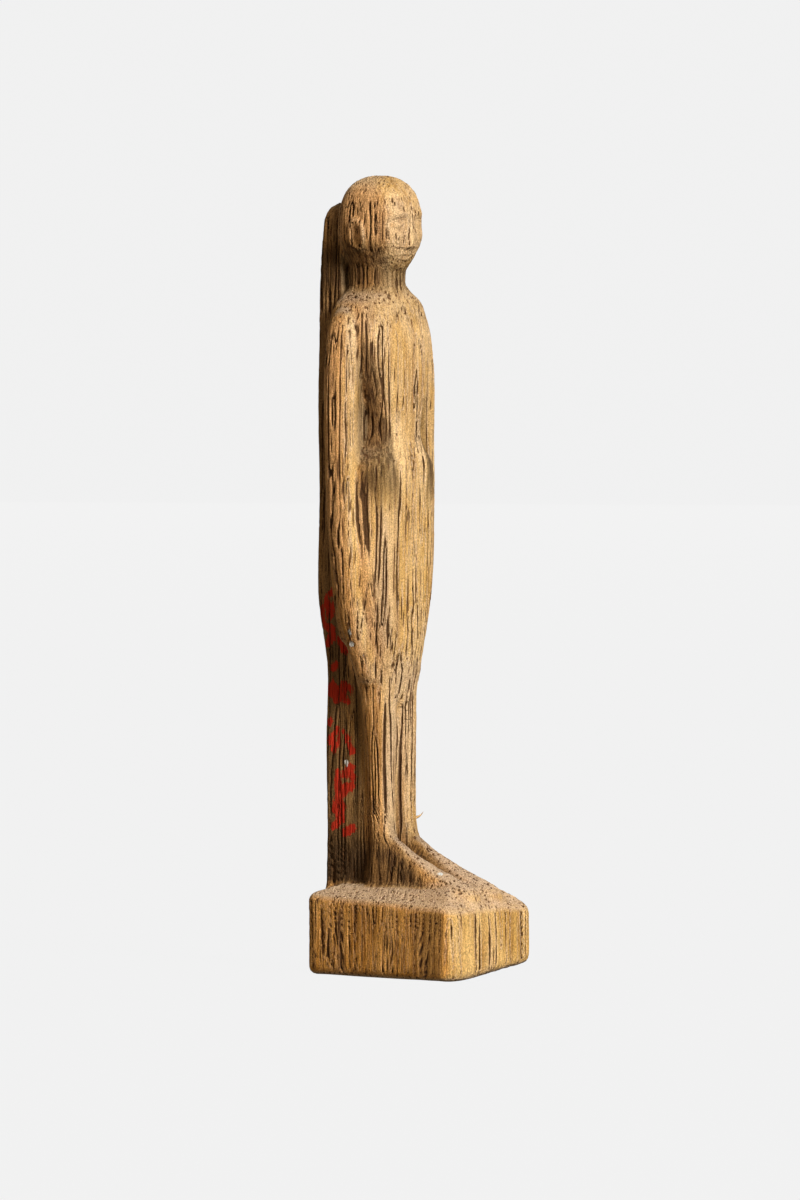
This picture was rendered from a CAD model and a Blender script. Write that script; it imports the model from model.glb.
import math
import bpy
import numpy as np
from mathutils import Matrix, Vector


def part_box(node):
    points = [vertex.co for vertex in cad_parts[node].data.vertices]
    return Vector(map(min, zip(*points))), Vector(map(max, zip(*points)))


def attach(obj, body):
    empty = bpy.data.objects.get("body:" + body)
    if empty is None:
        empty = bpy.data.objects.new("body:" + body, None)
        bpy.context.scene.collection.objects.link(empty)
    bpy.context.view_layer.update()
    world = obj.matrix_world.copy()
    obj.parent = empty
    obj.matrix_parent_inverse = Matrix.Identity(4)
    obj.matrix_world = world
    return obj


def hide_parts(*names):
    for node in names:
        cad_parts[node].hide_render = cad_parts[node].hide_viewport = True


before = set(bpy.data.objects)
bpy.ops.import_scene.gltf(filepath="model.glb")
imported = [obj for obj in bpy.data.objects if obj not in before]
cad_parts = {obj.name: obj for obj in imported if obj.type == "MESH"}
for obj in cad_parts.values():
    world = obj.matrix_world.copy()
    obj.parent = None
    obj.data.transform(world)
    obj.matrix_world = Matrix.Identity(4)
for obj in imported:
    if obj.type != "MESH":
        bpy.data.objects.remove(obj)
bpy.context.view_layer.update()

# A small standing figure carved from one stick of old wood, with its back pillar and its base.
# It faces -Y, its right hand is at -X, and it stands on z = 0.

boxLow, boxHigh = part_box("standing_figure")

carving = {
    "tallInMm": 65.26,          # the whole carving, from the underside to the crown
    "figureInMm": 57.8,         # soles to crown
    "baseLength": 16.5,         # millimetres from here on, at that height
    "baseWidth": 10.8,
    "baseTaper": 1.5,           # how much narrower the base is at the back
    "baseSide": 6.7,            # underside to the top's edge, at the back
    "baseFall": 0.7,            # how much lower that edge is at the front
    "baseRise": 0.7,            # from that edge up to the soles
    "baseCorner": 1.2,
    "baseWear": 0.8,
    "wornCornerStart": 0.20,
    "wornCornerSlope": 0.094,
    "wornCornerRound": 0.2,
    "baseHollow": 2.6,
    "pillarWidth": 4.0,
    "pillarHeight": 55.8,
    "pillarBack": 5.2,
    "pillarStep": 0.9,
    "pillarLean": 0.8,
    "pillarFront": 2.5,
    "pillarRoot": 0.8,
    "pillarTopRound": 2.1,
    "pillarEdgeRound": 0.4,
    # from where to where the step, the lean and the front's way out of the trunk run, in hundredths above
    # the soles
    "pillarStepRun": (28, 42),
    "pillarLeanRun": (80, 100),
    "pillarFrontRun": (68, 82),
    "bladeWave": 0.05,
    # the blade's waves across and along: length, start, length upwards and start upwards, in hundredths
    "bladeWaves": ((2.1, 1.3, 5.3, 0.4), (2.6, -0.7, 3.7, 2.1)),
    # height, half width, half depth, set back, squareness, in hundredths of the figure's height
    "trunk": (
        (26.0, 2.6, 2.2, -1.8, 2.2), (29.0, 3.5, 3.0, -1.7, 2.2), (31.5, 4.7, 4.1, -1.3, 2.3),
        (34.5, 5.9, 5.0, -0.9, 2.4),
        (38.5, 7.0, 5.3, -0.65, 2.5), (43.5, 7.9, 5.5, -0.45, 2.5), (50.0, 8.3, 6.0, -0.2, 2.5),
        (55.5, 8.3, 6.3, 0.0, 2.5), (59.8, 7.7, 6.1, 0.0, 2.6), (62.0, 5.2, 5.7, 0.0, 3.0),
        (64.0, 4.5, 5.5, 0.0, 3.3), (68.0, 5.2, 5.7, 0.0, 3.3), (73.0, 6.8, 6.0, 0.1, 2.9),
        (77.0, 7.8, 6.0, 0.2, 2.5), (80.0, 7.4, 5.5, 0.3, 2.4), (82.3, 6.4, 4.8, 0.3, 2.4),
        (83.6, 4.8, 4.1, 0.3, 2.4), (84.6, 3.4, 3.5, 0.3, 2.3), (85.8, 1.5, 1.5, 0.3, 2.2),
    ),
    # height, distance from the middle, half thickness, set back
    "arm": (
        (29.0, 4.2, 1.5, -1.6), (32.5, 4.9, 1.85, -1.15), (38.0, 6.2, 2.2, -0.7), (43.5, 7.0, 2.35, -0.45),
        (50.0, 7.5, 2.5, -0.2), (60.0, 7.9, 2.5, 0.0), (75.0, 7.7, 2.4, 0.2), (79.0, 7.2, 2.1, 0.3),
        (81.4, 6.5, 1.5, 0.4),
    ),
    # height, distance from the middle, half width, half depth, set back
    "leg": (
        (-2.0, 2.25, 1.85, 1.8, -2.55), (9.5, 2.2, 1.8, 1.87, -2.5), (18.5, 2.25, 2.05, 2.17, -2.1),
        (23.3, 2.3, 2.25, 2.5, -1.75), (27.0, 2.3, 2.4, 2.7, -1.5), (33.0, 2.6, 2.6, 3.1, -1.2),
    ),
    # distance in front of the axis, half width, height of the instep
    "foot": (
        (0.0, 0.9, 0.9), (1.2, 1.8, 3.5), (3.4, 2.05, 7.4), (5.4, 2.0, 6.8), (8.4, 2.0, 4.9),
        (12.2, 2.2, 3.3), (16.0, 2.4, 2.6), (18.6, 2.2, 2.0), (20.2, 1.4, 1.2),
    ),
    # height, half width, half depth, set back
    "neck": ((80.0, 4.6, 4.4, 0.3), (85.0, 3.7, 4.0, 0.4), (89.0, 3.9, 4.2, 0.4), (94.0, 4.0, 4.3, 0.4)),
    "footApart": 2.45,
    "footRoot": 3.0,
    "toesFall": 1.6,
    "toesFallFrom": 9.0,
    "grooveRound": 0.5,
    "limbSquareness": 2.2,
    "endRound": 1.2,
    "betweenArms": (34.0, 1.3, 2.9, 4.0),   # lowest height, set back, half depth and squareness
    # over what width each part runs into the others; the legs' grows by the thigh's on the way up
    "joins": {
        "arm": 0.55, "neck": 0.7, "leg": 0.5, "thigh": 1.3, "head": 0.5, "foot": 1.0, "pillar": 0.6,
        "base": 1.1,
    },
    "thighRun": (22, 30),       # from where to where it grows
    "headMiddle": 92.6,
    "headUp": 7.4,
    "headDown": 7.5,
    "headHalfWidth": 5.35,
    "headHalfDepth": 5.85,
    "jawTaper": 0.20,
    "headSquareness": 2.5,
}

face = {
    "top": 100.0,
    "chin": 86.4,
    "noseRelief": 0.72,
    "noseRoot": 0.60,           # half widths of the nose
    "noseTip": 0.95,
    "bridge": 0.22,             # the relief at its root, in shares of that at its tip
    "bridgeRun": (0.2, 1.9),    # where it fades out above the eyes' line
    "tipRun": (-0.35, 0.3),     # and below, from its end
    # each soft swelling: distance from the middle, height above the eyes' line in shares of the face,
    # half width, half height and relief, which is below 0 in a hollow
    "swellings": (
        (1.9, 0.118, 1.7, 0.50, 0.24),      # brow
        (2.1, 0.000, 1.45, 0.90, -0.40),    # the eye's socket
        (2.1, -0.004, 0.95, 0.42, 0.34),    # the eye
        (2.7, -0.180, 1.5, 1.3, 0.12),      # cheek
        (0.75, -0.232, 0.42, 0.42, 0.22),   # the nose's wing
        (0.0, -0.309, 1.15, 0.34, 0.26),    # upper lip
        (0.0, -0.361, 1.0, 0.34, 0.28),     # lower lip
        (0.0, -0.334, 1.25, 0.15, -0.24),   # the line between the lips
        (0.0, -0.400, 0.9, 0.24, -0.10),    # under the lower lip
        (0.0, -0.452, 1.4, 0.70, 0.26),     # chin
    ),
    # the lids' line round the eye: distance from the middle, half width, half height, thickness and depth
    "lids": (2.1, 1.15, 0.672, 0.22, 0.13),
    "from": (0.35, 0.80),       # where the face fades in, in shares of the head's half depth
}

ear = {
    "height": 91.7,
    "halfHeight": 2.3,
    "halfWidth": 1.5,
    "squareness": 2.6,
    "relief": 0.42,
    "rimRun": (0.82, 1.18),     # where the rim runs out, in shares of the ear's size
    "hollow": 0.50,
    "hollowRun": (0.25, 0.80),
    "from": (0.55, 0.85),       # where it fades in, in shares of the head's half width
}

mesh = {
    "columns": 384,
    "undersideRows": 8,
    # rows up to each height; heights above 0 in hundredths above the soles, the first is half the base's side
    "rows": ((None, 12), (9.0, 66), (27.0, 26), (60.0, 40), (79.0, 26), (86.0, 16), (95.0, 36), (100.0, 26)),
    # height, set back, crowding towards front and back of the columns' heart
    "heart": (
        (-12.7, None, 0.7), (-6.0, None, 0.6), (6.0, -2.0, 0.65), (12.0, 0.5, 0.9), (28.0, 1.1, 1.0),
        (42.0, 2.7, 1.0), (78.0, 2.7, 1.0), (84.0, 4.2, 0.9), (89.0, 4.2, 0.85), (93.0, 2.4, 0.8),
        (97.0, 0.9, 0.8), (100.0, 0.1, 0.8),
    ),
    "climbStep": 0.14,
    "looks": (420, 100),        # how many level looks there are and how many in the fan over the head
    "fanFrom": 93.0,
    "fanBack": 0.3,             # where the fan ends, set back
}

relief = {
    # cell width and length, reach in shares of a cell, and depth, in hundredths of the figure's height
    "wideGroove": (0.95, 18.0, 0.27, 0.30),
    "shortGroove": (0.55, 6.0, 0.30, 0.16),
    # the long lines of the grain: spacing, length, and half width where they are few and where they are many
    "lines": ((0.64, 28.0, 0.11, 0.23), (1.10, 34.0, 0.12, 0.19)),
    "lineDepth": 0.32,
    # the harder strands between them, and the weathered surface: width, length, and height or depth
    "ribs": ((0.62, 14.0, 0.12), (1.5, 24.0, 0.12)),
    "pitted": (0.28, 0.55, 0.07),
    "wander": ((6, 22, 1.3), (2, 5, 0.24)),     # the grain's waves: width, length and how far it strays
    # the share of open grain everywhere, and how much more or less there is on each part
    "openGrain": {
        "everywhere": 0.72, "smooth": -0.42, "face": -0.32, "base": -0.30, "beside": 0.28, "chest": 0.14,
        "legs": -0.22, "patches": 0.9,
    },
    "shelter": (1.6, 4.5),      # how far in front of the surface the open space is felt for
    "seed": 5,
}

mm = (boxHigh[2] - boxLow[2]) / carving["tallInMm"]     # one of the carving's millimetres, in metres
hundredth = carving["figureInMm"] * mm / 100
inHundredths = 100 / carving["figureInMm"]              # turns the carving's millimetres into hundredths
soleHeight = (carving["baseSide"] + carving["baseRise"]) * inHundredths
baseBack = (carving["pillarBack"] - carving["pillarStep"]) * inHundredths
baseLength = carving["baseLength"] * inHundredths
axisBack = (baseLength - baseBack - carving["pillarBack"] * inHundredths) / 2


def smoothStep(x, low, high):
    # 3t^2 - 2t^3 of the share t of the way from low to high
    t = np.clip((x - low) / (high - low), 0.0, 1.0)
    return t * t * (3 - 2 * t)


def smoothMin(a, b, k):
    # the smaller of two, rounded off over the width k where they meet
    h = np.maximum(k - np.abs(a - b), 0.0) / k
    return np.minimum(a, b) - h * h * k / 4


def smoothMax(a, b, k):
    # the larger of two, rounded off in the same way
    return -smoothMin(-a, -b, k)


def formAt(table, x):
    # each column of the table at x, on a cubic through its rows with the rows' own slopes
    rows = np.array(table)
    stops = rows[:, 0]
    x = np.clip(x, stops[0], stops[-1])
    i = np.clip(np.searchsorted(stops, x, side="right") - 1, 0, len(stops) - 2)
    span = stops[i + 1] - stops[i]
    t = (x - stops[i]) / span
    found = []
    for values in rows[:, 1:].T:
        slope = np.gradient(values, stops)
        start = (2 * t**3 - 3 * t**2 + 1) * values[i] + (t**3 - 2 * t**2 + t) * span * slope[i]
        end = (3 * t**2 - 2 * t**3) * values[i + 1] + (t**3 - t**2) * span * slope[i + 1]
        found.append(start + end)
    return found


def drawn(i, j, k, seed):
    # a number between 0 and 1 for each whole-number point of space: products and shifts of its three numbers
    h = i * 73856093 ^ j * 19349663 ^ k * 83492791
    h = (h + seed * 7919) * 1274126177
    h = (h ^ (h >> 15)) * 2246822519
    return ((h ^ (h >> 13)) & 0xFFFFFF) / 0xFFFFFF


def latticeNoise(x, y, z, seed):
    # numbers between 0 and 1 drawn at the whole-number points of space, and mixed between them by 3t^2 - 2t^3
    corner = [np.floor(v).astype(np.int64) for v in (x, y, z)]
    t = [v - np.floor(v) for v in (x, y, z)]
    t = [v * v * (3 - 2 * v) for v in t]
    total = np.zeros_like(x)
    for i in (0, 1):
        for j in (0, 1):
            for k in (0, 1):
                weight = (t[0] if i else 1 - t[0]) * (t[1] if j else 1 - t[1]) * (t[2] if k else 1 - t[2])
                total += weight * drawn(corner[0] + i, corner[1] + j, corner[2] + k, seed)
    return total


def strewn(x, y, z, seed):
    # the distance to the nearest of points strewn one to a cell of space, and a number drawn for that point
    corner = [np.floor(v).astype(np.int64) for v in (x, y, z)]
    nearest = np.full_like(x, 9.0)
    number = np.zeros_like(x)
    for i in (-1, 0, 1):
        for j in (-1, 0, 1):
            for k in (-1, 0, 1):
                cell = (corner[0] + i, corner[1] + j, corner[2] + k)
                gaps = [v - c - drawn(*cell, seed + n) for n, (v, c) in enumerate(zip((x, y, z), cell))]
                away = sum(gap ** 2 for gap in gaps)
                number = np.where(away < nearest, drawn(*cell, seed + 3), number)
                nearest = np.minimum(nearest, away)
    return np.sqrt(nearest), number


def roundColumn(x, y, halfWidth, halfDepth, squareness):
    # how far a point is outside a column whose section is |x/a|^n + |y/b|^n = 1
    halfWidth = np.maximum(halfWidth, 0.01)
    halfDepth = np.maximum(halfDepth, 0.01)
    radius = np.sqrt(x * x + y * y) + 1e-9
    share = (np.abs(x / halfWidth) ** squareness + np.abs(y / halfDepth) ** squareness) ** (1 / squareness)
    return radius * (1 - 1 / np.maximum(share, 1e-6))


def ended(distance, z, low, high):
    # a column cut off at two heights, with its ends rounded
    return smoothMax(distance, np.maximum(low - z, z - high), carving["endRound"])


def limb(name, across, y, z, halfWidth, halfDepth):
    # a column along the heights of its table
    form = roundColumn(across, y, halfWidth, halfDepth, carving["limbSquareness"])
    return ended(form, z, carving[name][0][0], carving[name][-1][0])


def paired(x):
    # the distance from the middle, rounded off at the middle
    return np.sqrt(x * x + carving["grooveRound"] ** 2)


def bump(u, v):
    # a soft round swelling, e to the minus u^2 + v^2
    return np.exp(-(u * u + v * v))


def faceRelief(x, z):
    # the sum of the soft swellings and hollows, of the nose's ridge and of the line of the lids
    tall = face["top"] - face["chin"]
    eyeLine = (face["top"] + face["chin"]) / 2
    noseEnd = (eyeLine + face["chin"]) / 2
    down = smoothStep(-z, -eyeLine - 0.4, -noseEnd - 0.2)
    halfWidth = face["noseRoot"] + (face["noseTip"] - face["noseRoot"]) * down
    low, high = [eyeLine + height for height in face["bridgeRun"]]
    ridge = (face["bridge"] + (1 - face["bridge"]) * down) * (1 - smoothStep(z, low, high))
    low, high = [noseEnd + height for height in face["tipRun"]]
    total = face["noseRelief"] * bump(x / halfWidth, 0) * ridge * smoothStep(z, low, high)
    for apart, height, halfAcross, halfUp, size in face["swellings"]:
        total = total + size * bump((np.abs(x) - apart) / halfAcross, (z - eyeLine - height * tall) / halfUp)
    apart, halfAcross, halfUp, thickness, depth = face["lids"]
    lid = np.sqrt(((np.abs(x) - apart) / halfAcross) ** 2 + ((z - eyeLine) / halfUp) ** 2)
    return total - depth * bump((lid - 1) / thickness, 0)


def earRelief(y, z):
    # a low D, |y/w|^n + |z/h|^n: a rim that stands out and a hollow inside it
    u = y / ear["halfWidth"]
    v = (z - ear["height"]) / ear["halfHeight"]
    n = ear["squareness"]
    size = (np.abs(u) ** n + np.abs(v) ** n) ** (1 / n)
    rim = ear["relief"] * (1 - smoothStep(size, *ear["rimRun"]))
    return rim - ear["hollow"] * (1 - smoothStep(size, *ear["hollowRun"]))


def headForm(x, y, z):
    # a rounded block, |x/a|^n + |y/b|^n + |z/c|^n = 1, that narrows to the jaw
    rise = z - carving["headMiddle"]
    jaw = 1 - carving["jawTaper"] * smoothStep(-rise, 0, carving["headDown"])
    width = carving["headHalfWidth"] * jaw
    length = carving["headHalfDepth"] * jaw
    height = np.where(rise > 0, carving["headUp"], carving["headDown"])
    n = carving["headSquareness"]
    radius = np.sqrt(x * x + y * y + rise * rise) + 1e-9
    share = (np.abs(x / width) ** n + np.abs(y / length) ** n + np.abs(rise / height) ** n) ** (1 / n)
    block = radius * (1 - 1 / np.maximum(share, 1e-6))
    front = smoothStep(-y / length, *face["from"])
    side = smoothStep(np.abs(x) / width, *ear["from"])
    return block - front * faceRelief(x, z) - side * earRelief(y, z)


def bodyForm(x, y, z):
    # trunk, arms, the wood between them, neck, legs, head and feet, softly run together
    joins = carving["joins"]
    halfWidth, halfDepth, back, squareness = formAt(carving["trunk"], z)
    low, high = carving["trunk"][0][0], carving["trunk"][-1][0]
    trunk = ended(roundColumn(x, y - back, halfWidth, halfDepth, squareness), z, low, high)
    apart, radius, back = formAt(carving["arm"], z)
    arms = limb("arm", np.abs(x) - apart, y - back, z, radius, radius)
    low, back, halfDepth, squareness = carving["betweenArms"]
    between = ended(roundColumn(x, y - back, apart, halfDepth, squareness), z, low, carving["arm"][-1][0])
    halfWidth, halfDepth, back = formAt(carving["neck"], z)
    neck = limb("neck", x, y - back, z, halfWidth, halfDepth)
    apart, halfWidth, halfDepth, back = formAt(carving["leg"], z)
    legs = limb("leg", paired(x) - apart, y - back, z, halfWidth, halfDepth)
    body = smoothMin(smoothMin(trunk, arms, joins["arm"]), between, joins["arm"])
    body = smoothMin(body, neck, joins["neck"])
    body = smoothMin(body, legs, joins["leg"] + joins["thigh"] * smoothStep(z, *carving["thighRun"]))
    body = smoothMin(body, headForm(x, y, z), joins["head"])
    return smoothMin(body, footForm(x, y, z), joins["foot"])


def footForm(x, y, z):
    # a half-round ridge along each foot, |x/w|^n + |z/h|^n = 1, that sinks towards the toes
    halfWidth, instep = formAt(carving["foot"], -y)
    toeEnd = carving["foot"][-1][0]
    heelEnd = carving["foot"][0][0]
    rise = z + carving["toesFall"] * smoothStep(-y, carving["toesFallFrom"], toeEnd)
    across = (paired(x) - carving["footApart"]) / halfWidth
    n = carving["limbSquareness"]
    share = (np.abs(across) ** n + (np.maximum(rise, 0) / instep) ** n) ** (1 / n)
    form = (share - 1) * np.minimum(halfWidth, instep)
    form = smoothMax(form, np.maximum(-y - toeEnd, heelEnd + y), carving["endRound"])
    return np.maximum(form, -rise - carving["footRoot"])


def roundedRectangle(x, y, halfWidth, halfLength, radius):
    # the distance from a rectangle with round corners
    across = np.abs(x) - halfWidth + radius
    along = np.abs(y) - halfLength + radius
    outside = np.sqrt(np.maximum(across, 0) ** 2 + np.maximum(along, 0) ** 2)
    return outside + np.minimum(np.maximum(across, along), 0) - radius


def baseForm(x, y, z):
    # a block whose top climbs from its edges to the soles, one lower corner worn away; z from the underside
    k = inHundredths
    middle = baseBack - baseLength / 2
    backness = (y - middle) / baseLength + 0.5
    halfWidth = (carving["baseWidth"] - carving["baseTaper"] * backness) * k / 2
    plan = roundedRectangle(x, y - middle, halfWidth, baseLength / 2, carving["baseCorner"] * k)
    edge = (carving["baseSide"] - carving["baseFall"] * (1 - backness)) * k
    top = edge + (soleHeight - edge) * smoothStep(-plan, 0, carving["baseHollow"] * k)
    block = smoothMax(plan, z - top, carving["baseWear"] * k)
    out = (x / (carving["baseWidth"] * k / 2) - (y - middle) / (baseLength / 2)) / 2
    lost = (out - carving["wornCornerStart"]) * carving["wornCornerSlope"] * baseLength
    underside = smoothMax(lost, 0.0, carving["wornCornerRound"] * k)
    return smoothMax(block, underside - z, carving["baseWear"] * k)


def pillarForm(x, y, z):
    # a flat bar with a step at the thighs and a rounded top; z is from the underside
    k = inHundredths
    above = z - soleHeight
    back = carving["pillarBack"] - carving["pillarStep"] * (1 - smoothStep(above, *carving["pillarStepRun"]))
    back = (back - carving["pillarLean"] * smoothStep(above, *carving["pillarLeanRun"])) * k
    rise = smoothStep(above, *carving["pillarFrontRun"])
    front = (carving["pillarFront"] * rise - carving["pillarRoot"] * (1 - rise)) * k
    middle = (back + front) / 2
    halfWidth = carving["pillarWidth"] * k / 2
    plan = roundedRectangle(x, y - middle, halfWidth, (back - front) / 2, carving["pillarEdgeRound"] * k)
    bar = smoothMax(plan, above - carving["pillarHeight"] * k, carving["pillarTopRound"] * k)
    return np.maximum(bar, soleHeight / 2 - z)


def woodForm(x, y, z):
    # the whole carving in hundredths, below 0 in the wood, less the blade's slow waves, which are products of
    # sines; y is from the axis and z from the underside
    joins = carving["joins"]
    block = smoothMin(bodyForm(x, y, z - soleHeight), pillarForm(x, y, z), joins["pillar"])
    block = smoothMin(block, baseForm(x, y, z), joins["base"])
    wave = 0
    for across, (length, start, rise, riseStart) in zip((x, y + axisBack), carving["bladeWaves"]):
        wave = wave + np.sin(across / length + start) * np.sin(z / rise + riseStart)
    sideTop = carving["baseSide"] * inHundredths
    return block - carving["bladeWave"] * inHundredths * wave * smoothStep(z, 0, sideTop)


def place(radius, angle, z):
    # the point at a radius and angle round the columns' heart at this height, squeezed sideways by crowding
    middle = baseBack - baseLength / 2
    table = [(height, middle if back is None else back, crowd) for height, back, crowd in mesh["heart"]]
    heights, hearts, crowds = np.array(table).T
    heart, crowd = [np.interp(z - soleHeight, heights, values) for values in (hearts, crowds)]
    return crowd * radius * np.cos(angle), heart + radius * np.sin(angle), z


def probe(radius, angle, z):
    # the form at a point, and how it grows outwards and upwards
    step = 0.0014
    r = np.stack([radius, radius + step, radius])
    h = np.stack([z, z, z + step])
    here, outwards, upwards = woodForm(*place(r, angle, h))
    return here, (outwards - here) / step, (upwards - here) / step


def walkUp(angle, ankle):
    # all columns at once: small steps along the surface from the underside's middle, each pulled back onto it
    step = mesh["climbStep"]
    radius = np.full_like(angle, step)
    z = np.zeros_like(angle)
    track = []
    _, out, up = probe(radius, angle, z)
    for _ in range(int(1.6 * (ankle + baseLength) / step)):
        track.append(np.stack(place(radius, angle, z), axis=1))
        size = np.hypot(out, up)
        nextRadius = radius - step * up / size
        nextZ = z + step * out / size
        for _ in range(2):
            value, out, up = probe(nextRadius, angle, nextZ)
            pull = value / np.maximum(out * out + up * up, 0.25)
            nextRadius = nextRadius - pull * out
            nextZ = nextZ - pull * up
        climbing = z < ankle
        radius = np.where(climbing, nextRadius, radius)
        z = np.where(climbing, nextZ, z)
        if not climbing.any():
            break
    return np.array(track)


def lookOut(angle, ankle):
    # level looks from the heart up to the head, then a fan up to the crown, each halved until it ends on the
    # surface
    level, fan = mesh["looks"]
    fanZ = soleHeight + mesh["fanFrom"]
    lift = np.concatenate([np.zeros(level), np.linspace(0, math.pi / 2, fan)[1:]])
    start = np.concatenate([np.linspace(ankle, fanZ, level), np.full(fan - 1, fanZ)])
    theta, lift = np.meshgrid(angle, lift)
    start = start[:, None] + 0 * theta
    low = np.zeros_like(theta)
    high = np.full_like(theta, 1.3 * baseLength)
    shift = (mesh["fanBack"] - place(0.0, 0.0, fanZ)[1]) * lift / (math.pi / 2)

    def points(reach):
        x, y, _ = place(reach * np.cos(lift), theta, start)
        return x, y + shift, start + reach * np.sin(lift)

    for _ in range(20):
        middle = (low + high) / 2
        inside = woodForm(*points(middle)) < 0
        low = np.where(inside, middle, low)
        high = np.where(inside, high, middle)
    return np.stack(points(low), axis=2)


def surfaceRings():
    # rows evenly spaced along every column between the heights in the table, from the underside to the crown
    count = mesh["columns"]
    angle = 2 * math.pi * np.arange(count) / count
    ankle = soleHeight + mesh["rows"][1][0]
    track = np.concatenate([walkUp(angle, ankle), lookOut(angle, ankle)])
    height = track[:, :, 2]
    run = np.cumsum(np.linalg.norm(np.diff(track, axis=0, prepend=track[:1]), axis=2), axis=0)
    columns = np.arange(count)
    start = None
    wanted = []
    for level, rows in mesh["rows"]:
        level = carving["baseSide"] * inHundredths / 2 if level is None else soleHeight + level
        last = len(track) - 2 - np.argmax(height[-2::-1] <= level, axis=0)
        low, high = height[last, columns], height[last + 1, columns]
        t = np.clip((level - low) / np.maximum(high - low, 1e-9), 0, 1)
        end = run[last, columns] + t * (run[last + 1, columns] - run[last, columns])
        if level >= soleHeight + face["top"]:
            end = run[-1]
        if start is None:
            # the lower edge is where the climb to this level starts
            start = end - level - carving["baseWear"] * inHundredths / 2
            wanted.append(start * (np.arange(mesh["undersideRows"]) / mesh["undersideRows"])[:, None])
        wanted.append(start + (end - start) * (np.arange(rows) / rows)[:, None])
        start = end
    wanted = np.concatenate(wanted)
    rings = np.empty((len(wanted) + 1, count, 3))
    for j in columns:
        for axis in range(3):
            rings[:-1, j, axis] = np.interp(wanted[:, j], run[:, j], track[:, j, axis])
    rings[0] = track[0].mean(axis=0)
    rings[-1] = track[-1].mean(axis=0)
    return rings


def outwardsAt(p):
    # the direction in which the form grows fastest
    step = 0.02
    here = woodForm(*p.T)
    n = np.stack([woodForm(*(p + step * direction).T) - here for direction in np.eye(3)], axis=-1)
    return n / np.maximum(np.linalg.norm(n, axis=-1, keepdims=True), 1e-9)


def wander(x, y, z, seed):
    # how far the grain strays sideways: slow lattice noise, drawn out along the grain
    total = 0
    for width, length, far in relief["wander"]:
        total = total + far * (latticeNoise(x / width, y / width, z / length, seed) - 0.5)
    return total


def grooves(x, y, z, openShare):
    # spindles drawn out along the grain and strewn one to a cell, cut open by the surface: long grooves on
    # the sides and round pits on what was cut across. openShare is the share of them that is there
    seed = relief["seed"]
    x = x + wander(x, y, z, seed)
    y = y + wander(x, y, z, seed + 1)
    found = []
    for k, name in enumerate(("wideGroove", "shortGroove")):
        width, length, reach, depth = relief[name]
        away, number = strewn(x / width, y / width, z / length, seed + 10 + 10 * k)
        reach = reach * (0.6 + 0.7 * number / np.maximum(openShare, 0.05))
        found.append((1 - smoothStep(away, 0.35 * reach, reach)) * (number < openShare))
    ribs = 0
    for k, (width, length, height) in enumerate(relief["ribs"]):
        ribs = ribs + height * latticeNoise(x / width, y / width, z / length, seed + 40 + k)
    return found[0], found[1], ribs


def acrossRing(values):
    # what changes from one neighbour on the ring to the other
    rings = values[1:-1].reshape(-1, mesh["columns"])
    return (np.roll(rings, 1, axis=1) - np.roll(rings, -1, axis=1)).ravel()


def longLines(x, y, z, k, many):
    # lines where a field, the mean of two noises drawn out along the grain, passes a half. Divided by how
    # fast the field changes round the carving, what it is off a half is the distance from the line, and the
    # result is one minus that distance in half widths, which swell and shrink along the line
    seed = relief["seed"] + 60 + 10 * k
    spacing, length, few, most = relief["lines"][k]
    a = x + wander(x, y, z, seed)
    b = y + wander(x, y, z, seed + 1)
    u, v, w = a / spacing, b / spacing, z / length
    turned = latticeNoise(0.8 * u + 0.6 * v, 0.8 * v - 0.6 * u, w + 0.5, seed + 3)
    field = (latticeNoise(u, v, w, seed + 2) + turned) / 2
    change = np.abs(acrossRing(field)) / np.maximum(np.hypot(acrossRing(x), acrossRing(y)), 1e-6)
    change = np.concatenate([[1.0], np.maximum(change, 0.03), [1.0]])
    swell = latticeNoise(a / 0.8, b / 0.8, z / 4.5, seed + 4)
    halfWidth = (few + (most - few) * many) * np.clip(2.0 * swell - 0.55 + 0.5 * many, 0.05, 1.3)
    return np.maximum(1 - np.abs(field - 0.5) / change / halfWidth, -3.0)


paint = {
    "colour": (0.52, 0.034, 0.013),
    "halfWidth": 0.62,
    "dabs": 6,
    "none": -3.0,               # the mask where there is no paint
    "seed": 12,
    # height above the soles, half height and distance behind the axis of each group of dabs, in hundredths
    "places": ((39.5, 2.0, 7.4), (34.8, 2.2, 5.3), (30.4, 0.8, 6.4), (26.9, 2.2, 4.6), (22.6, 0.7, 6.2),
               (19.6, 2.2, 4.3), (14.4, 2.3, 4.2), (9.2, 2.3, 4.1)),
}


def daubs(x, y, z):
    # short dabs of paint turned all ways, in groups up the pillar's right side: one minus the distance from
    # the nearest dab's middle line in shares of its half width
    rng = np.random.default_rng(paint["seed"])
    total = np.full_like(x, paint["none"])
    for middle, tall, behind in paint["places"]:
        for k in range(paint["dabs"] if tall > 1 else 1):
            aside, lift = rng.uniform(-1, 1, 2) * (2.4, 0.75 * tall) * min(tall / 2, 1)
            turn = rng.uniform(-1.4, 1.4)
            u = y - behind - aside * 0.75
            v = z - middle - lift
            along = np.clip(u * math.sin(turn) + v * math.cos(turn), -tall * 0.4, tall * 0.4)
            away = np.hypot(u - along * math.sin(turn), v - along * math.cos(turn))
            total = np.maximum(total, 1 - away / paint["halfWidth"])
    return total


# heights above the soles, in hundredths, between which each zone fades in, and then out
zones = {
    "front": (29, 34, 80, 84),
    "besideBelly": (30, 38, 52, 60),
    "legs": (0, 4, 26, 34),
    "waistHollow": (51, 58, 76, 80),
    "shoulders": (77.5, 81, 84, 86),
    "ankles": (-0.8, 0.6, 4.0, 9.5),
}


def zone(name, above):
    # 3t^2 - 2t^3 on the way up to the zone, times one minus the same past it
    low, full, fading, gone = zones[name]
    return smoothStep(above, low, full) * (1 - smoothStep(above, fading, gone))


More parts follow.
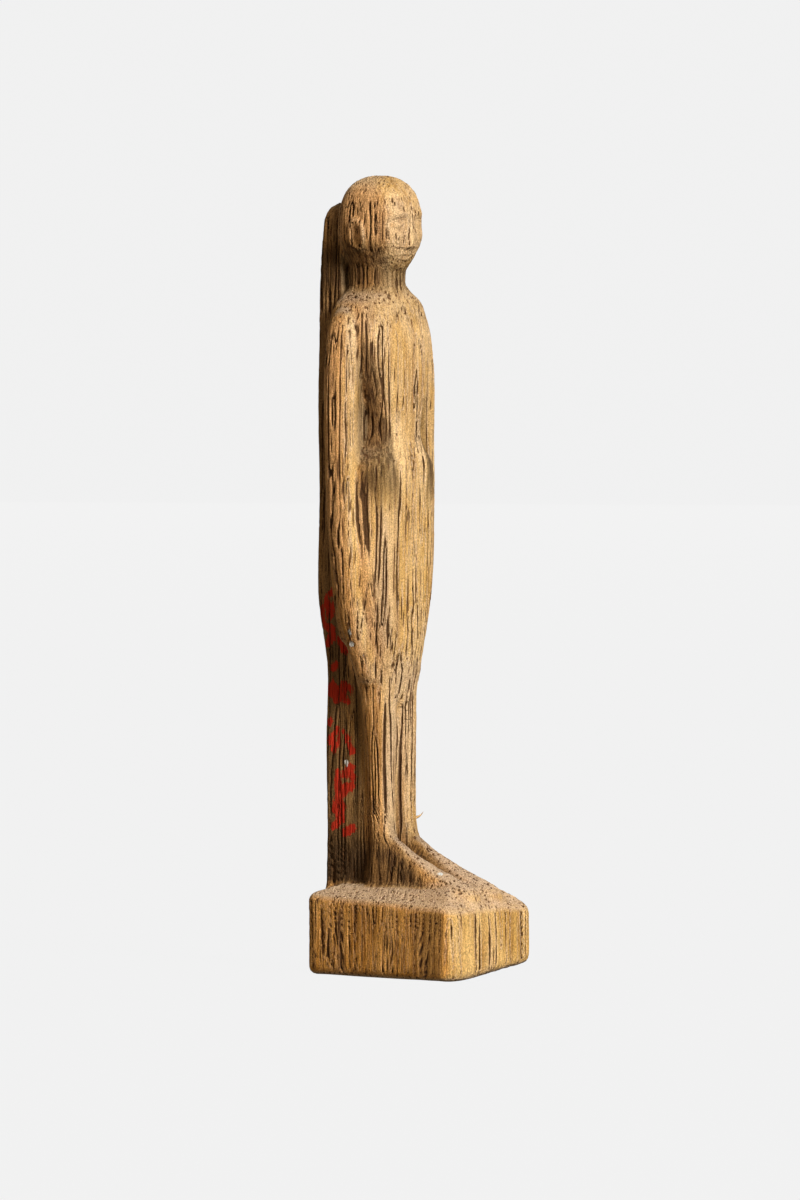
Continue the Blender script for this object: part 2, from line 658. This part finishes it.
grime = {
    "pocket": 0.85,             # the dirt in the hollows beside the waist
    "neck": 0.80,
    "shoulders": 0.20,
    "ankles": 0.92,
    "baseCorner": 0.50,
    "slant": (0.663, 0.749),    # the way, across and forwards, in which that dirt is laid out
    # pale specks: across, set back, height above the soles and size, in hundredths
    "specks": ((-7.8, -1.0, 35.9, 0.55), (-7.3, -0.9, 34.2, 0.50), (-6.4, -2.4, 32.8, 0.36),
               (-3.5, 3.4, 17.0, 0.50), (-3.2, -14.2, 2.0, 0.45)),
    # places with short cracks across the grain: the same, with half sizes along each axis
    "checked": (((-8.4, -1.9, -5.6), (1.2, 1.0, 1.9)), ((-9.0, -15.4, -5.6), (1.2, 1.3, 2.6)),
                ((-8.2, 4.0, -7.6), (1.2, 0.9, 1.0)), ((0.7, -4.0, 24.0), (1.5, 2.0, 3.0))),
}


def grimeAt(x, y, z, outwards):
    # dirt where it gathers: a wedge in each hollow beside the waist, round the neck, on the shoulders, low on
    # the legs' outsides and on the base's sides next to the front corners, each the product of soft steps
    above = z - soleHeight
    sideways = np.abs(outwards[:, 0])
    aside = -grime["slant"][0] * np.abs(x) - grime["slant"][1] * (y + axisBack)
    edge = -7.7 + 0.84 * np.maximum(79.0 - above, 0.0) ** 0.62
    edge = edge + 1.2 * (latticeNoise(x / 1.5, y / 1.5, z / 4, 51) - 0.5)
    pocket = smoothStep(edge - aside, -0.4, 0.5) * smoothStep(aside, -8.3, -6.9)
    pocket = pocket * zone("waistHollow", above) * (y < 0)
    jaw = 3.0 * smoothStep(np.abs(x), 1.5, 4.5)
    neck = smoothStep(above, 82.5, 85.0) * (1 - smoothStep(above - jaw, 86.5, 89.0))
    shoulders = zone("shoulders", above) * (1 - smoothStep(y, 1.5, 2.5))
    shoulders = shoulders * (0.5 + latticeNoise(x / 1.2, y / 1.2, z / 2.0, 52))
    low = 1 - smoothStep(above - 0.85 * (13.2 + y), -1.4, 1.2) * smoothStep(-y, -2.0, 1.0)
    ankles = low * zone("ankles", above) * (y > -15) * smoothStep(sideways, 0.35, 0.8)
    corner = smoothStep(-y, 12.5, 17.5) * smoothStep(sideways, 0.85, 0.98) * (above < 0)
    places = {"pocket": pocket, "neck": neck, "shoulders": shoulders, "ankles": ankles, "baseCorner": corner}
    return np.maximum.reduce([grime[name] * found for name, found in places.items()])


def near(places, x, y, above):
    # for each place the distances along the three axes in shares of its half sizes
    for middle, half in places:
        yield [np.abs((v - m) / h) for v, m, h in zip((x, y, above), middle, half)]


woodMasks = ("wideGroove", "shortGroove", "lines", "porous", "cutAcross", "sideways", "sheltered", "grimy",
             "wornRim", "golden", "paintedPlace", "pillarWood", "checkedPlace", "specks")


def meshFrom(name, points, faces, masks):
    # a mesh from arrays of quads and triangles, with one number of each mask on every point
    quads, fans = faces
    corners = np.concatenate([fans.ravel(), quads.ravel()]).astype(np.int32)
    sizes = np.repeat((3, 4), (len(fans), len(quads)))
    made = bpy.data.meshes.new(name)
    made.vertices.add(len(points))
    made.vertices.foreach_set("co", points.astype(np.float32).ravel())
    made.loops.add(len(corners))
    made.loops.foreach_set("vertex_index", corners)
    made.polygons.add(len(sizes))
    made.polygons.foreach_set("loop_start", (np.cumsum(sizes) - sizes).astype(np.int32))
    made.update(calc_edges=True)
    made.validate()
    made.shade_smooth()
    for mask, values in masks.items():
        layer = made.attributes.new(mask, "FLOAT", "POINT")
        layer.data.foreach_set("value", values.astype(np.float32).ravel())
    piece = bpy.data.objects.new(name, made)
    bpy.context.scene.collection.objects.link(piece)
    return piece


def ringsToFaces(rowCount, count):
    # quads between the rings and a fan of triangles at each end; the first and last point are the poles
    j = np.arange(count)
    k = (j + 1) % count
    i = np.arange(rowCount - 1)[:, None]
    a = 1 + i * count
    quads = np.stack([a + j, a + k, a + count + k, a + count + j], axis=-1).reshape(-1, 4)
    low = np.stack([np.zeros_like(j), 1 + k, 1 + j], axis=-1)
    top = 1 + rowCount * count
    base = 1 + (rowCount - 1) * count
    high = np.stack([np.full_like(j, top), base + j, base + k], axis=-1)
    return quads, np.concatenate([low, high])


def makeFigure():
    # the rings on the surface, with the grain cut into them straight inwards, and the masks for the wood
    rings = surfaceRings()
    points = np.concatenate([rings[:1, 0], rings[1:-1].reshape(-1, 3), rings[-1:, 0]])
    outwards = outwardsAt(points)
    x, y, z = points.T
    above = z - soleHeight
    forwards = -outwards[:, 1]
    across = np.abs(outwards[:, 2])
    sideways = outwards[:, 0] ** 2
    # the chest, belly and thighs are smooth, the face smoother still, and the sides more open-grained
    smooth = smoothStep(forwards, 0.45, 0.95) * zone("front", above)
    faceFront = smoothStep(forwards, 0.2, 0.7) * smoothStep(above, 85, 87)
    block = (above < 0) * (1 - across)
    blockFront = block * smoothStep(forwards, 0.5, 0.9)
    beside = smooth * smoothStep(np.abs(x), 1.0, 4.0) * zone("besideBelly", above)
    chest = smooth * smoothStep(above, 62, 70)
    legs = zone("legs", above)
    openGrain = relief["openGrain"]
    parts = (("smooth", smooth), ("face", faceFront), ("base", block), ("beside", beside), ("chest", chest),
             ("legs", legs))
    porous = openGrain["everywhere"] + sum(openGrain[name] * share for name, share in parts)
    porous = porous + openGrain["patches"] * (latticeNoise(x / 2.6, y / 2.6, z / 15, 41) - 0.5)
    porous = np.clip(porous, 0.03, 1)
    wide, short, ribs = grooves(x, y, z, porous * (1 - 0.45 * block))
    fine = longLines(x, y, z, 0, porous)
    coarse = longLines(x, y, z, 1, np.maximum(porous, 0.55))
    lines = np.where(block > 0.5, np.maximum(fine - 0.35, coarse), fine)
    lines = np.where(blockFront > 0.4, coarse, lines)
    lines = lines - 3.0 * smoothStep(across, 0.22, 0.50) - 0.5 * faceFront
    width, length, pitDepth = relief["pitted"]
    pitted = pitDepth * (1 + 1.6 * across) * latticeNoise(x / width, y / width, z / length, 22)
    depth = relief["wideGroove"][3] * wide + relief["shortGroove"][3] * short
    depth = np.maximum(depth, relief["lineDepth"] * smoothStep(lines, -0.1, 0.8) * (1 - 0.4 * block)) + pitted
    depth = depth + ribs * (0.35 + 0.65 * sideways) * (1 - across) * (1 - 0.6 * block) * (1 - 0.6 * faceFront)
    depth = depth * smoothStep(z, 0.0, 1.2)               # nothing is taken off the underside

    # how open the space in front of the surface is, a little way out and further out
    clear = [np.clip(woodForm(*(points + reach * outwards).T) / reach, 0, 1) for reach in relief["shelter"]]
    onPillar = (x < -2.5) & (x > -4.7) & (outwards[:, 0] < -0.6) & (y > 0.5)
    checked = np.maximum.reduce([1 - smoothStep(np.max(away, axis=0), 0.6, 1.1)
                                 for away in near(grime["checked"], x, y, above)])
    balls = [(middle, (size, size, size)) for *middle, size in grime["specks"]]
    specks = np.maximum.reduce([np.maximum(1.6 - np.sqrt(sum(v * v for v in away)), 0)
                                for away in near(balls, x, y, above)])
    golden = 1 - smoothStep(above, -1.0, 1.0) + 0.6 * smooth * (1 - smoothStep(above, 54, 64))
    pillarFrom = -0.5 + 3.3 * smoothStep(above, 26, 32) + 1.6 * smoothStep(above, 80, 86)
    pillar = smoothStep(y, pillarFrom, pillarFrom + 1.0) * smoothStep(above, -0.4, 1.0)
    masks = {
        "wideGroove": wide,
        "shortGroove": short,
        "lines": lines,
        "porous": porous,
        "cutAcross": across * (1 - 0.6 * smoothStep(above, 90, 97)) * (1 - 0.75 * faceFront),
        "sideways": sideways,
        "sheltered": 1 - 0.5 * (clear[0] + clear[1]),
        "grimy": grimeAt(x, y, z, outwards),
        "wornRim": bump((across - 0.55) / 0.28, 0) * (above < 1.0) * (above > -7),
        "golden": golden,
        "paintedPlace": np.where(onPillar, daubs(x, y, above), paint["none"]),
        "pillarWood": pillar * (1 - 0.18 * smoothStep(above, 30, 50)),
        "checkedPlace": checked,
        "specks": specks,
    }
    carved = points - outwards * depth[:, None]
    carved[:, 1] += axisBack
    carved[:, 2] = np.maximum(carved[:, 2], 0)
    faces = ringsToFaces(len(rings) - 2, mesh["columns"])
    piece = meshFrom("standingFigure", carved * hundredth, faces, masks)
    print("standing figure:", len(piece.data.polygons), "faces")
    return piece


splinter = {
    "root": (3.35, -3.95, 9.3),     # on the far shin, in hundredths from the soles' middle
    "length": 1.0,
    "radius": 0.28,
    "way": (0.68, -0.73, 0.0),      # where it points
    "curl": 0.9,                # how far its end turns up, in lengths
    "sunk": 0.5,                # how deep it starts in the wood, in hundredths
    "taper": 0.6,
    "rows": 14,
    "sides": 12,
}


def makeSplinter():
    # a tube round a curved path along t, which rises by t^3, with the radius a (1 - t)^taper down to a point
    rows, sides = splinter["rows"], splinter["sides"]
    t = np.linspace(0, 1, rows)[:, None]
    angle = np.linspace(0, 2 * math.pi, sides, endpoint=False)
    right = np.array(splinter["way"])
    up = np.array([0.0, 0.0, 1.0])
    side = np.cross(right, up)
    path = splinter["length"] * (t * right + splinter["curl"] * t**3 * up)
    path = path - splinter["sunk"] * (1 - t) * right
    radius = splinter["radius"] * (1 - t) ** splinter["taper"]
    circle = np.cos(angle)[:, None] * up + np.sin(angle)[:, None] * side
    ring = path[:, None, :] + radius[..., None] * circle
    points = np.concatenate([path[:1], ring[1:-1].reshape(-1, 3), path[-1:]]) + np.array(splinter["root"])
    placed = (points + np.array([0, axisBack, soleHeight])) * hundredth
    masks = {name: np.zeros(len(points)) for name in woodMasks}
    masks["paintedPlace"] += paint["none"]
    piece = meshFrom("shinSplinter", placed, ringsToFaces(rows - 2, sides), masks)
    print("splinter:", len(piece.data.polygons), "faces")
    return piece


def feed(tree, value, socket):
    # joins an output to a socket, or types in a number, a vector or a colour
    if isinstance(value, bpy.types.NodeSocket):
        tree.links.new(value, socket)
    elif isinstance(value, tuple) and len(value) < len(socket.default_value):
        socket.default_value = (*value, 1.0)
    else:
        socket.default_value = value


def addNode(tree, kind, inputs=(), **settings):
    # a node with its settings, and what its sockets are fed, by their names or places
    made = tree.nodes.new(kind)
    for key, value in settings.items():
        setattr(made, key, value)
    for key, value in dict(inputs).items():
        feed(tree, value, made.inputs[key])
    return made


def math2(tree, operation, a, b=0.0):
    # one sum of two numbers or outputs
    return addNode(tree, "ShaderNodeMath", {0: a, 1: b}, operation=operation).outputs[0]


def times(tree, a, b):
    # a b
    return math2(tree, "MULTIPLY", a, b)


def plus(tree, a, b):
    # a + b
    return math2(tree, "ADD", a, b)


def most(tree, greatest, *others):
    # the greatest of several
    for other in others:
        greatest = math2(tree, "MAXIMUM", greatest, other)
    return greatest


def mapped(tree, value, fromLow, fromHigh, toLow=0.0, toHigh=1.0, smooth=True):
    # the share t of the way between two numbers, or 3t^2 - 2t^3 where it is smooth, laid between another two
    numbers = dict(enumerate((value, fromLow, fromHigh, toLow, toHigh)))
    kind = "SMOOTHSTEP" if smooth else "LINEAR"
    return addNode(tree, "ShaderNodeMapRange", numbers, interpolation_type=kind).outputs["Result"]


def mixed(tree, factor, a, b, blend="MIX"):
    # colour a with a share of b: (1 - share) a + share b, or that of a and a b where they are multiplied
    sockets = {0: factor, 6: a, 7: b}
    made = addNode(tree, "ShaderNodeMix", sockets, data_type="RGBA", blend_type=blend, clamp_factor=True)
    return made.outputs[2]


def combined(tree, parts):
    # a vector from its parts
    return addNode(tree, "ShaderNodeCombineXYZ", dict(enumerate(parts))).outputs[0]


def newGroup(name, numbers, results):
    # a node group that takes a position and some numbers: the group, its two ends and the position's parts
    group = bpy.data.node_groups.new(name, "ShaderNodeTree")
    group.interface.new_socket("Vector", in_out="INPUT", socket_type="NodeSocketVector")
    for label, number in numbers.items():
        socket = group.interface.new_socket(label, in_out="INPUT", socket_type="NodeSocketFloat")
        socket.default_value = number
    for label in results:
        group.interface.new_socket(label, in_out="OUTPUT", socket_type="NodeSocketFloat")
    source = addNode(group, "NodeGroupInput").outputs
    target = addNode(group, "NodeGroupOutput").inputs
    parts = addNode(group, "ShaderNodeSeparateXYZ", {0: source["Vector"]}).outputs
    return group, source, target, parts


def placeGroup(tree, group, vector, **values):
    # a group's node with its position and numbers
    return addNode(tree, "ShaderNodeGroup", {"Vector": vector, **values}, node_tree=group).outputs


def stretched(group, source, parts, across):
    # the position divided by a width across the grain and by a length along it, and moved along by the offset
    x, y = [math2(group, "DIVIDE", parts[k], source[across]) for k in range(2)]
    z = math2(group, "DIVIDE", parts[2], source["Length"])
    return combined(group, (x, y, plus(group, z, source["Offset"])))


def makeStreakGroup():
    # noise drawn out along the grain
    numbers = {"Width": 0.0002, "Length": 0.003, "Detail": 2.0, "Offset": 0.0}
    group, source, target, parts = newGroup("grainStreaks", numbers, ("Streak",))
    sockets = {"Scale": 1.0, "Vector": stretched(group, source, parts, "Width"), "Detail": source["Detail"]}
    noise = addNode(group, "ShaderNodeTexNoise", sockets)
    feed(group, noise.outputs["Fac"], target["Streak"])
    return group


def makePoreGroup():
    # spindles drawn out along the grain and strewn one to a cell: the distance to the nearest one's middle in
    # shares of its reach. Pore is inside the spindle and Lip is round its edge
    numbers = {"Spacing": 0.0004, "Length": 0.004, "Reach": 0.22, "Share": 0.7, "Offset": 0.0}
    group, source, target, parts = newGroup("openPores", numbers, ("Pore", "Lip"))
    sockets = {"Scale": 1.0, "Vector": stretched(group, source, parts, "Spacing")}
    cells = addNode(group, "ShaderNodeTexVoronoi", sockets, voronoi_dimensions="3D", feature="F1").outputs
    pick = addNode(group, "ShaderNodeSeparateColor", {0: cells["Color"]}).outputs
    kept = math2(group, "LESS_THAN", pick[0], source["Share"])
    share = math2(group, "DIVIDE", cells["Distance"], source["Reach"])
    share = math2(group, "DIVIDE", share, mapped(group, pick[1], 0.0, 1.0, 0.65, 1.15, smooth=False))
    feed(group, times(group, mapped(group, share, 1.0, 0.30), kept), target["Pore"])
    lip = times(group, mapped(group, share, 0.85, 1.10), mapped(group, share, 1.80, 1.30))
    feed(group, times(group, lip, kept), target["Lip"])
    return group


def makeCrackGroup():
    # short cracks across the grain: thin lines at uneven heights, each only as wide as its own strip of wood
    numbers = {"Strip": 0.0009, "Spacing": 0.0012, "Thickness": 0.07, "Rarity": 0.6}
    group, source, target, parts = newGroup("crossCracks", numbers, ("Crack",))
    strips = [math2(group, "FLOOR", math2(group, "DIVIDE", parts[k], source["Strip"])) for k in range(2)]

    def drawnFor(cell):
        # a number drawn for each cell
        draw = addNode(group, "ShaderNodeTexWhiteNoise", noise_dimensions="3D")
        feed(group, combined(group, cell), draw.inputs["Vector"])
        return draw.outputs["Value"]

    uneven = {"Scale": 2500.0, "Detail": 1.0, "Vector": source["Vector"]}
    wobble = addNode(group, "ShaderNodeTexNoise", uneven).outputs["Fac"]
    level = math2(group, "DIVIDE", parts[2], source["Spacing"])
    level = plus(group, level, times(group, drawnFor(strips), 7.0))
    level = plus(group, level, times(group, wobble, 0.35))
    step = math2(group, "FLOOR", level)
    line = math2(group, "LESS_THAN", math2(group, "SUBTRACT", level, step), source["Thickness"])
    kept = math2(group, "GREATER_THAN", drawnFor((*strips, step)), source["Rarity"])
    feed(group, times(group, line, kept), target["Crack"])
    return group


woodLooks = {
    "honey": (0.57, 0.335, 0.112),
    "straw": (0.73, 0.485, 0.235),
    "brown": (0.270, 0.130, 0.045),
    "groove": (0.135, 0.062, 0.024),    # the sides of a groove, and its bottom
    "umber": (0.040, 0.019, 0.008),
    "sideTint": (0.97, 0.745, 0.50),
    "goldTint": (1.0, 0.94, 0.70),
    "greyPink": (0.580, 0.415, 0.285),
    "grime": (0.050, 0.027, 0.013),
    "pillar": (0.145, 0.080, 0.029),
    "speck": (0.75, 0.72, 0.66),
    "roughness": 0.86,
    "sheen": 0.08,
    "bumpDepth": 0.00008,       # metres
    "strayBy": 0.00028,         # how far the fine grain strays sideways, and over what length
    "strayOver": 0.0045,
}

# patterns drawn out along the grain: width across and length along it in metres, detail and offset
streakPatterns = {
    "thin": (0.000085, 0.0018, 2.0, 0.0),
    "streak": (0.00020, 0.0050, 2.0, 3.0),
    "band": (0.00070, 0.0260, 1.5, 9.0),
    "patch": (0.0024, 0.0070, 2.0, 5.0),
    "fleck": (0.00009, 0.00013, 1.0, 1.0),
    "beads": (0.00030, 0.0014, 2.0, 7.0),
}
# strewn spindles, in metres: short dashes, long tracks along the grain, and pits where it is cut across
porePatterns = {
    "dash": {"Spacing": 0.00036, "Length": 0.0052, "Reach": 0.27},
    "track": {"Spacing": 0.00033, "Length": 0.0120, "Reach": 0.30, "Offset": 4.0},
    "pits": {"Spacing": 0.00034, "Length": 0.00060, "Reach": 0.44, "Offset": 6.0},
}
crackPattern = {"Strip": 0.00048, "Spacing": 0.00070, "Thickness": 0.09, "Rarity": 0.60}


def makeWood(streaks, pores, cracks):
    # the colour in layers, from the clean wood up to the paint and the specks, and the fine grain's relief
    made = bpy.data.materials.new("oldWood")
    made.use_nodes = True
    tree = made.node_tree
    shader = tree.nodes["Principled BSDF"].inputs
    straight = addNode(tree, "ShaderNodeTexCoord").outputs["Object"]
    masks = {}
    for name in woodMasks:
        masks[name] = addNode(tree, "ShaderNodeAttribute", attribute_name=name).outputs["Fac"]
    # the grain strays a little from the straight
    noise = {"Scale": 1 / woodLooks["strayOver"], "Detail": 1.0, "Vector": straight}
    stray = addNode(tree, "ShaderNodeTexNoise", noise).outputs["Color"]
    by = (woodLooks["strayBy"], woodLooks["strayBy"], 0.0)
    offset = addNode(tree, "ShaderNodeVectorMath", {0: stray, 1: by}, operation="MULTIPLY").outputs[0]
    where = addNode(tree, "ShaderNodeVectorMath", {0: straight, 1: offset}, operation="ADD").outputs[0]

    thin, streak, band, patch, fleck, beads = [
        placeGroup(tree, streaks, where, Width=width, Length=length, Detail=detail, Offset=start)[0]
        for width, length, detail, start in streakPatterns.values()
    ]
    crack = placeGroup(tree, cracks, straight, **crackPattern)[0]
    side = masks["sideways"]
    porous = masks["porous"]
    dash = placeGroup(tree, pores, where, Share=times(tree, porous, 0.55), **porePatterns["dash"])
    share = plus(tree, times(tree, porous, 0.7), 0.15)
    track = placeGroup(tree, pores, where, Share=share, **porePatterns["track"])
    pits = placeGroup(tree, pores, straight, Share=0.85, **porePatterns["pits"])

    # the clean wood: honey and straw, with brown bands and thin brown streaks along the grain
    colour = mixed(tree, mapped(tree, patch, 0.35, 0.65), woodLooks["honey"], woodLooks["straw"])
    colour = mixed(tree, mapped(tree, band, 0.50, 0.68, 0.0, 0.45), colour, woodLooks["brown"])
    strength = times(tree, mapped(tree, streak, 0.54, 0.68), mapped(tree, side, 0.0, 1.0, 0.30, 0.70))
    colour = mixed(tree, strength, colour, woodLooks["brown"])
    colour = mixed(tree, mapped(tree, streak, 0.46, 0.34, 0.0, 0.55), colour, woodLooks["straw"])
    colour = mixed(tree, masks["golden"], colour, mixed(tree, 1.0, colour, woodLooks["goldTint"], "MULTIPLY"))
    # weathered pinkish grey where it is cut across, on worn rims and beside the grooves
    across = mapped(tree, masks["cutAcross"], 0.35, 0.85, 0.0, 0.85)
    longLine = plus(tree, masks["lines"], times(tree, math2(tree, "SUBTRACT", thin, 0.5), 0.9))
    lips = times(tree, mapped(tree, longLine, -1.8, -0.8, 0.0, 0.60), mapped(tree, longLine, -0.1, -0.5))
    lips = most(tree, lips, times(tree, track["Lip"], 0.35), mapped(tree, porous, 0.45, 0.95, 0.0, 0.50))
    weather = most(tree, lips, across, times(tree, masks["wornRim"], 0.75))
    weather = times(tree, weather, mapped(tree, fleck, 0.30, 0.60, 0.55, 1.0))
    weather = times(tree, weather, mapped(tree, masks["grimy"], 0.0, 0.6, 1.0, 0.25))
    colour = mixed(tree, weather, colour, woodLooks["greyPink"])
    # the sides are browner, the pillar's wood is darker, and so is what lies sheltered
    tinted = mixed(tree, 1.0, colour, woodLooks["sideTint"], "MULTIPLY")
    colour = mixed(tree, mapped(tree, side, 0.15, 0.95, 0.0, 0.9), colour, tinted)
    dark = times(tree, masks["pillarWood"], mapped(tree, band, 0.35, 0.60, 0.66, 0.92))
    colour = mixed(tree, dark, colour, woodLooks["pillar"])
    shelter = mapped(tree, plus(tree, masks["sheltered"], times(tree, patch, 0.15)), 0.35, 0.75, 0.0, 0.50)
    dirt = times(tree, masks["grimy"], mapped(tree, streak, 0.35, 0.62, 0.70, 1.0))
    colour = mixed(tree, most(tree, shelter, dirt), colour, woodLooks["grime"])
    # dashes, dotted lines, long lines and pits, then the open grooves, paler at the sides than at the bottom
    dots = times(tree, track["Pore"], mapped(tree, beads, 0.36, 0.46))
    lines = times(tree, most(tree, dash["Pore"], dots), 0.80)
    lines = most(tree, lines, mapped(tree, longLine, -0.15, 0.55))
    lines = times(tree, lines, mapped(tree, porous, 0.1, 0.6, 0.80, 1.0))
    pitted = times(tree, pits["Pore"], mapped(tree, masks["cutAcross"], 0.20, 0.60, 0.0, 0.8))
    pitted = times(tree, pitted, mapped(tree, masks["golden"], 0.0, 1.0, 1.0, 0.60))
    lines = most(tree, lines, pitted)
    colour = mixed(tree, mapped(tree, lines, 0.05, 0.50, 0.0, 0.92), colour, woodLooks["groove"])
    open1 = plus(tree, most(tree, masks["wideGroove"], masks["shortGroove"]), times(tree, thin, 0.5))
    colour = mixed(tree, mapped(tree, open1, 0.50, 0.85, 0.0, 0.85), colour, woodLooks["groove"])
    checked = times(tree, crack, mapped(tree, masks["checkedPlace"], 0.30, 0.60))
    deep = most(tree, mapped(tree, open1, 0.80, 1.15), times(tree, checked, 0.85))
    deep = times(tree, most(tree, deep, mapped(tree, lines, 0.60, 0.95, 0.0, 0.75)), 0.85)
    colour = mixed(tree, deep, colour, woodLooks["umber"])
    # light and dark flecks of the worn surface
    light = mapped(tree, fleck, 0.28, 0.72, 0.60, 1.38, smooth=False)
    grey = addNode(tree, "ShaderNodeCombineColor", {0: light, 1: light, 2: light}).outputs[0]
    colour = mixed(tree, 1.0, colour, grey, "MULTIPLY")
    # worn daubs of paint, gone from the grooves, and pale specks
    ragged = plus(tree, masks["paintedPlace"], times(tree, fleck, 1.1))
    ragged = math2(tree, "SUBTRACT", plus(tree, ragged, times(tree, patch, 1.6)), times(tree, beads, 1.8))
    painted = times(tree, mapped(tree, ragged, 0.55, 0.75), math2(tree, "SUBTRACT", 1.0, deep))
    colour = mixed(tree, painted, colour, paint["colour"])
    specks = plus(tree, masks["specks"], times(tree, fleck, 0.8))
    colour = mixed(tree, mapped(tree, specks, 1.0, 1.15), colour, woodLooks["speck"])
    feed(tree, colour, shader["Base Color"])

    base = woodLooks["roughness"]
    feed(tree, mapped(tree, streak, 0.3, 0.7, base - 0.10, base + 0.08), shader["Roughness"])
    feed(tree, woodLooks["sheen"], shader["Specular IOR Level"])

    height = times(tree, mapped(tree, thin, 0.35, 0.70), -0.7)
    height = plus(tree, height, times(tree, mapped(tree, streak, 0.45, 0.70), -0.6))
    for layer, share in ((fleck, 1.0), (lines, -1.3), (checked, -1.0)):
        height = plus(tree, height, times(tree, layer, share))
    bumps = {"Strength": 1.0, "Distance": woodLooks["bumpDepth"], "Height": height}
    feed(tree, addNode(tree, "ShaderNodeBump", bumps).outputs["Normal"], shader["Normal"])
    return made


studio = {
    "floor": (0.004, 0.004, 0.004),
    "glow": 0.876,              # the floor is so evenly lit that it hardly shows a shadow
    "flatRadius": 1.66,         # metres
    "sweepRadius": 0.08,
    "wallHeight": 1.7,
    "sides": 64,
    "flatRings": 7,
    "sweepRings": 16,
}


def makeFloor():
    # a profile turned round the upright axis: flat, then a quarter circle up, then straight
    r, s = studio["flatRadius"], studio["sweepRadius"]
    sides, flat = studio["sides"], studio["flatRings"]
    t = np.linspace(0, math.pi / 2, studio["sweepRings"])
    out = np.concatenate([np.linspace(0.05, r, flat + 1)[:-1], r + s * np.sin(t), [r + s]])
    up = np.concatenate([np.zeros(flat), s - s * np.cos(t), [s + studio["wallHeight"]]])
    angle = 2 * math.pi * np.arange(sides) / sides
    out, up = out[:, None], up[:, None]
    ring = np.stack([out * np.cos(angle), out * np.sin(angle), up + 0 * angle], axis=-1)
    points = np.concatenate([[[0, 0, 0]], ring.reshape(-1, 3)])
    quads, ends = ringsToFaces(len(out), sides)
    floor = meshFrom("studioFloor", points, (quads[:, ::-1], ends[:sides, ::-1]), {})
    made = bpy.data.materials.new("paleFloor")
    made.use_nodes = True
    looks = {"Base Color": studio["floor"], "Roughness": 0.9, "Specular IOR Level": 0.0,
             "Emission Color": (1.0, 1.0, 1.0), "Emission Strength": studio["glow"]}
    for name, value in looks.items():
        feed(made.node_tree, value, made.node_tree.nodes["Principled BSDF"].inputs[name])
    floor.data.materials.append(made)
    floor.visible_diffuse = False
    floor.visible_glossy = False
    return floor


shot = {
    "azimuth": -48.5,           # degrees from the front, towards the figure's right
    "elevation": 2.36,
    "aim": (0.0, 0.0, 0.0325),
    "distance": 1.5,
    "metresPerPixel": 0.08156e-3,
    "picture": (800, 1200),
    "middle": (412.1, 577.4),   # where the aim lands in the picture, from its upper left corner
    "sensor": 36,
}


def makeCamera():
    # it stands off from the aim along its two angles. The lens is the sensor times the distance over what the
    # picture spans at the aim, and the shifts are what the aim lands off the picture's middle
    a = math.radians(shot["azimuth"])
    e = math.radians(shot["elevation"])
    wide, high = shot["picture"]
    back = Vector((math.sin(a) * math.cos(e), -math.cos(a) * math.cos(e), math.sin(e)))
    camera = bpy.data.objects.new("camera", bpy.data.cameras.new("camera"))
    camera.location = Vector(shot["aim"]) + back * shot["distance"]
    camera.rotation_euler = back.to_track_quat("Z", "Y").to_euler()
    camera.data.sensor_fit = "VERTICAL"
    camera.data.sensor_height = shot["sensor"]
    camera.data.lens = shot["sensor"] * shot["distance"] / (shot["metresPerPixel"] * high)
    camera.data.shift_x = (wide / 2 - shot["middle"][0]) / high
    camera.data.shift_y = (shot["middle"][1] - high / 2) / high
    camera.data.clip_start = 0.01
    camera.data.clip_end = 30
    bpy.context.scene.collection.objects.link(camera)
    bpy.context.scene.camera = camera
    return back


lights = {
    # how far to the camera's right, up and towards the camera, then size in metres, watts and colour
    "key": ((0.44, 0.41, 0.67), 0.20, 13.5, (1.0, 0.985, 0.96)),
    "fill": ((-0.60, 0.10, 0.60), 0.50, 1.4, (1.0, 0.86, 0.68)),
    "behind": ((0.11, 0.16, -1.0), 0.60, 7.5, (1.0, 0.97, 0.93)),
    "sky": (0.11, (1.0, 0.86, 0.68)),
}


def makeLights(back):
    # each lamp is so far from the aim along the camera's right, up and back, and turned to the aim
    right = Vector((0, 0, 1)).cross(back).normalized()
    up = back.cross(right)
    aim = Vector(shot["aim"])
    for name in ("key", "fill", "behind"):
        offset, size, power, colour = lights[name]
        lamp = bpy.data.objects.new(name + "Light", bpy.data.lights.new(name + "Light", "AREA"))
        away = right * offset[0] + up * offset[1] + back * offset[2]
        lamp.location = aim + away
        lamp.rotation_euler = away.to_track_quat("Z", "Y").to_euler()
        lamp.data.size = size
        lamp.data.energy = power
        lamp.data.color = colour
        lamp.visible_camera = False
        bpy.context.scene.collection.objects.link(lamp)
    world = bpy.data.worlds.new("paleSky")
    world.use_nodes = True
    strength, colour = lights["sky"]
    for name, value in (("Color", colour), ("Strength", strength)):
        feed(world.node_tree, value, world.node_tree.nodes["Background"].inputs[name])
    bpy.context.scene.world = world


back = makeCamera()
print("camera placed")
figurePiece = makeFigure()
splinterPiece = makeSplinter()
wood = makeWood(makeStreakGroup(), makePoreGroup(), makeCrackGroup())
for piece in (figurePiece, splinterPiece):
    piece.data.materials.append(wood)
    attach(piece, "root")
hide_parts("standing_figure")
print("wood placed")
makeFloor()
makeLights(back)
bpy.context.scene.view_settings.view_transform = "Standard"
print("studio placed")
